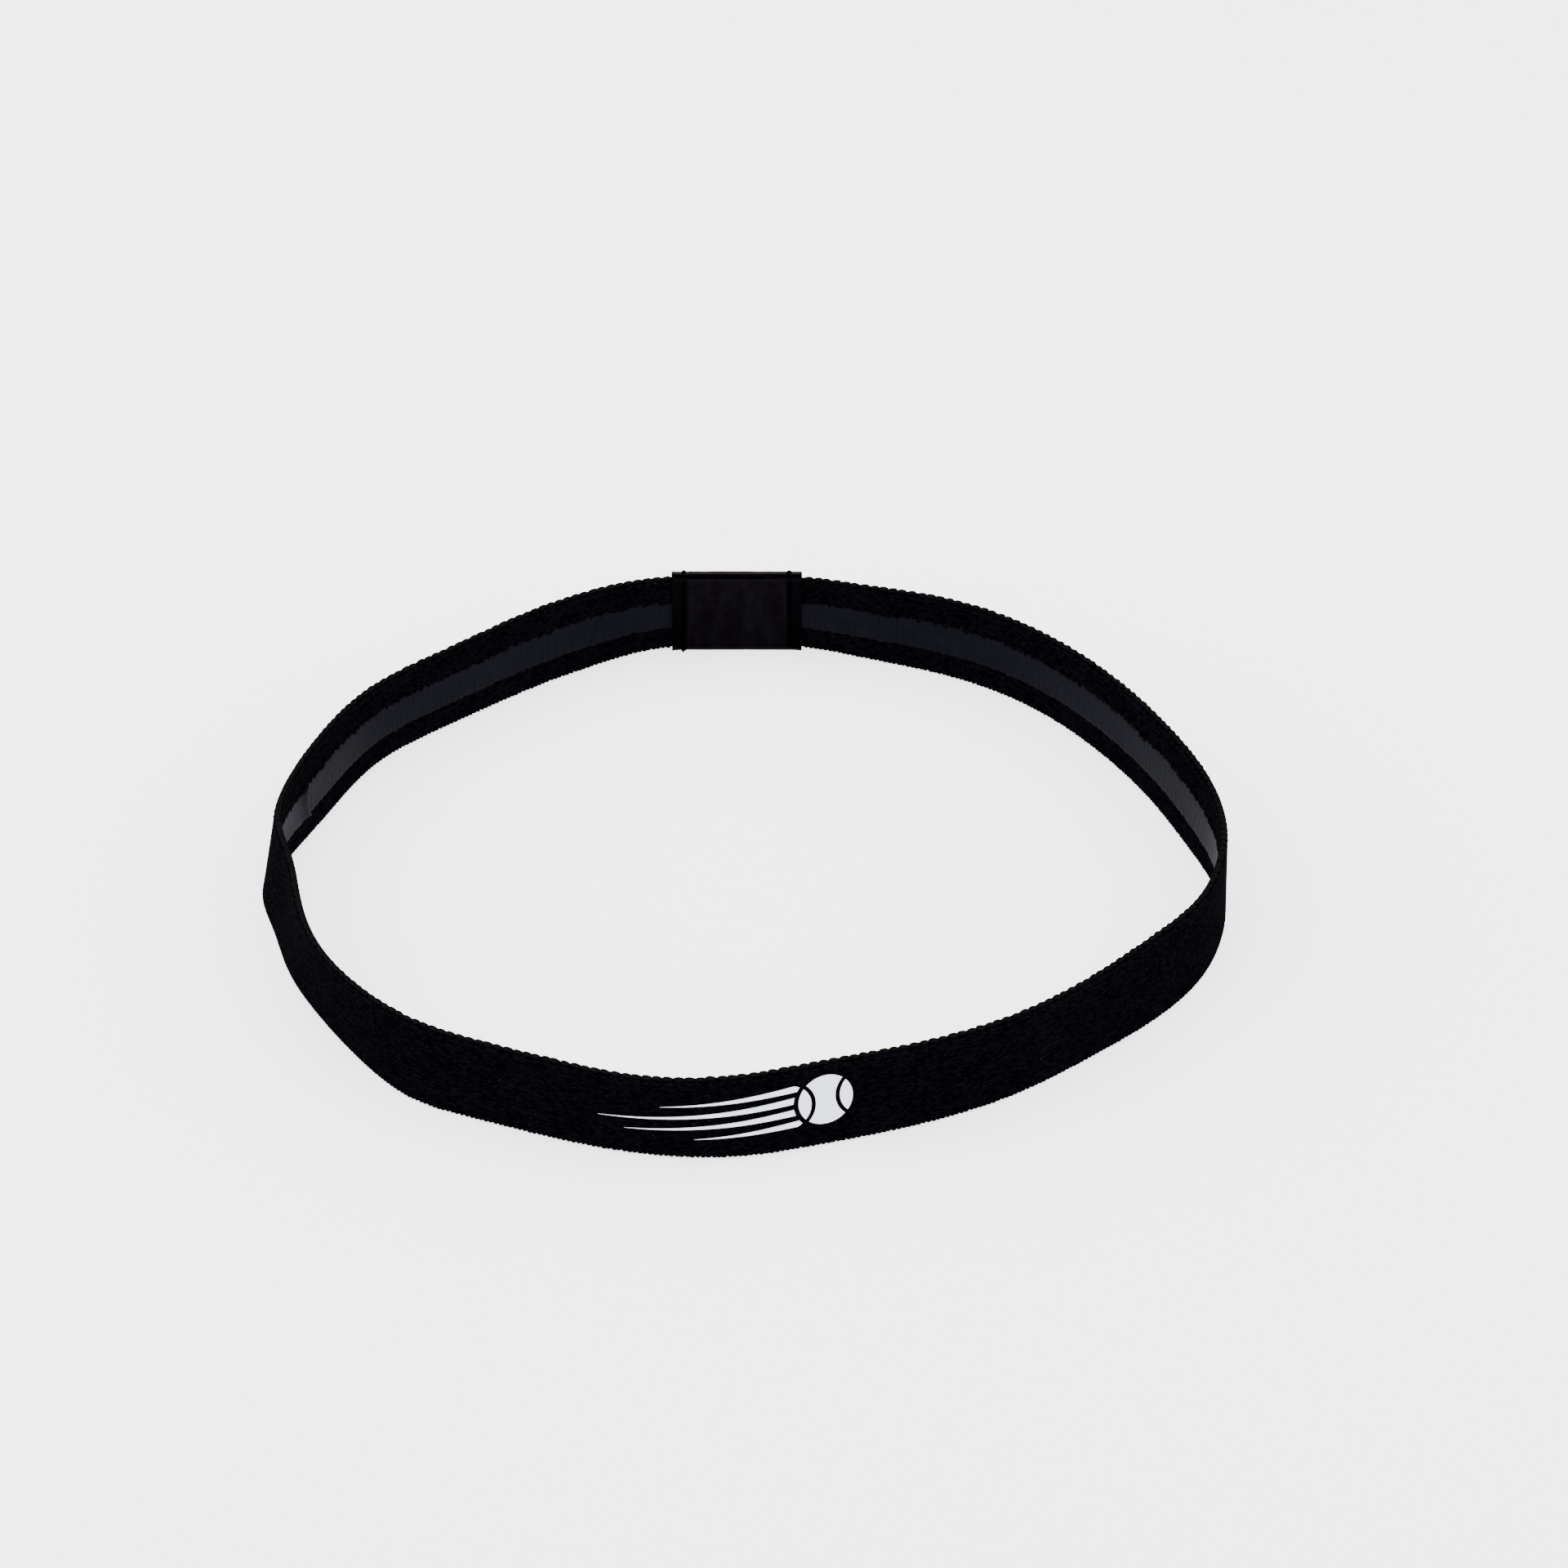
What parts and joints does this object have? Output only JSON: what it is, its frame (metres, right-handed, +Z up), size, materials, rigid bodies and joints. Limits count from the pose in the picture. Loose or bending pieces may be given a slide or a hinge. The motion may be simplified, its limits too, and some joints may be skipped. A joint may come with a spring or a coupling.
{
  "type": "sports headband",
  "caption": "Narrow black elastic sports headband: a woven loop with scalloped edges, a silicone grip stripe inside, a stitched ribbon sleeve at the back and a white mark in front.",
  "frame": {"origin": "under the centre of the loop's box, at the height of the lower edge that it stands on", "axes": "+Z up across the band's width, -Y towards the print at the front, +Y towards the ribbon sleeve at the back"},
  "size_m": [0.1597, 0.1586, 0.016],
  "materials": {
    "woven_black": "matt woven polyester, fine grain",
    "selvedge_black": "matt yarn",
    "core_rubber": "natural rubber, unpainted",
    "grip_silicone": "translucent grey-blue silicone, satin",
    "sleeve_satin": "dark brown-violet satin ribbon",
    "seam_thread": "black spun polyester thread",
    "print_ink": "white transfer film, satin"
  },
  "bodies": {
    "root": {"elastic_webbing": "woven_black", "elastane_cores": "core_rubber", "upper_edge_cord": "selvedge_black", "lower_edge_cord": "selvedge_black", "silicone_grip": "grip_silicone", "sleeve_inner_panel": "sleeve_satin", "sleeve_outer_panel": "sleeve_satin", "left_seam_needle_thread": "seam_thread", "left_seam_bobbin_thread": "seam_thread", "right_seam_needle_thread": "seam_thread", "right_seam_bobbin_thread": "seam_thread", "printed_mark": "print_ink"}
  },
  "joints": []
}
